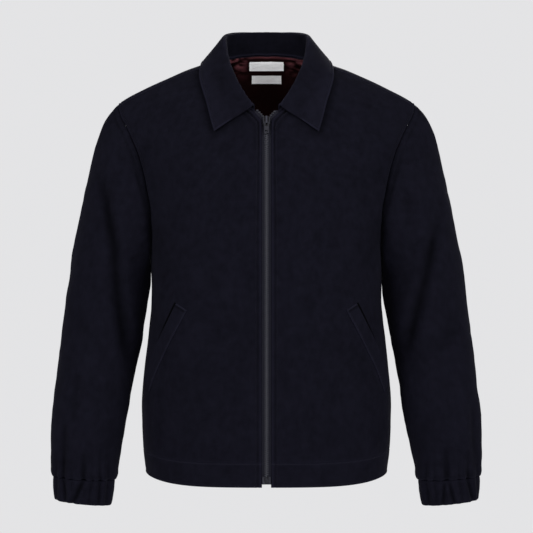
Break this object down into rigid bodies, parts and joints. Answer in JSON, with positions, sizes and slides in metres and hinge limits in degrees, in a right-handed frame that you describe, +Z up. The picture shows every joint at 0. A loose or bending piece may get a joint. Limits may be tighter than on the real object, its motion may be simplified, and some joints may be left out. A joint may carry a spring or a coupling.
{
  "type": "bomber jacket",
  "caption": "Zip-front waist-length jacket with a turn-down point collar, slanted welt pockets, a plain hem band and gathered cuffs, filled out as if worn.",
  "frame": {"origin": "middle of the neck, level with the place where the collar lies on the shoulders", "axes": "+Z up, front faces -Y, +X to the wearer's left"},
  "size_m": [0.6666, 0.2628, 0.7429],
  "materials": {
    "navy_cotton": "brushed, matt",
    "brown_satin": "satin",
    "white_woven": "woven",
    "zip_tape": "woven",
    "zip_metal": "satin grey"
  },
  "bodies": {
    "garment": {"front_left": "navy_cotton", "front_right": "navy_cotton", "back": "navy_cotton", "collar": "navy_cotton", "hem_band": "navy_cotton", "sleeve_left": "navy_cotton", "sleeve_right": "navy_cotton", "cuff_left": "navy_cotton", "cuff_right": "navy_cotton", "pocket_welt_left": "navy_cotton", "pocket_welt_right": "navy_cotton", "back_lining": "brown_satin", "label_upper": "white_woven", "label_lower": "white_woven", "zip_tape_left": "zip_tape", "zip_tape_right": "zip_tape", "zip_teeth_left": "zip_metal", "zip_teeth_right": "zip_metal", "zip_slider": "zip_metal", "zip_box": "zip_metal"},
    "pull_tab": {"zip_pull": "zip_metal"}
  },
  "joints": [
    {"name": "zip_pull", "type": "hinge", "parent": "garment", "child": "pull_tab", "pos_m": [0, -0.10765, -0.09596], "axis": [-1, 0, 0], "range_deg": [0, 135]}
  ]
}
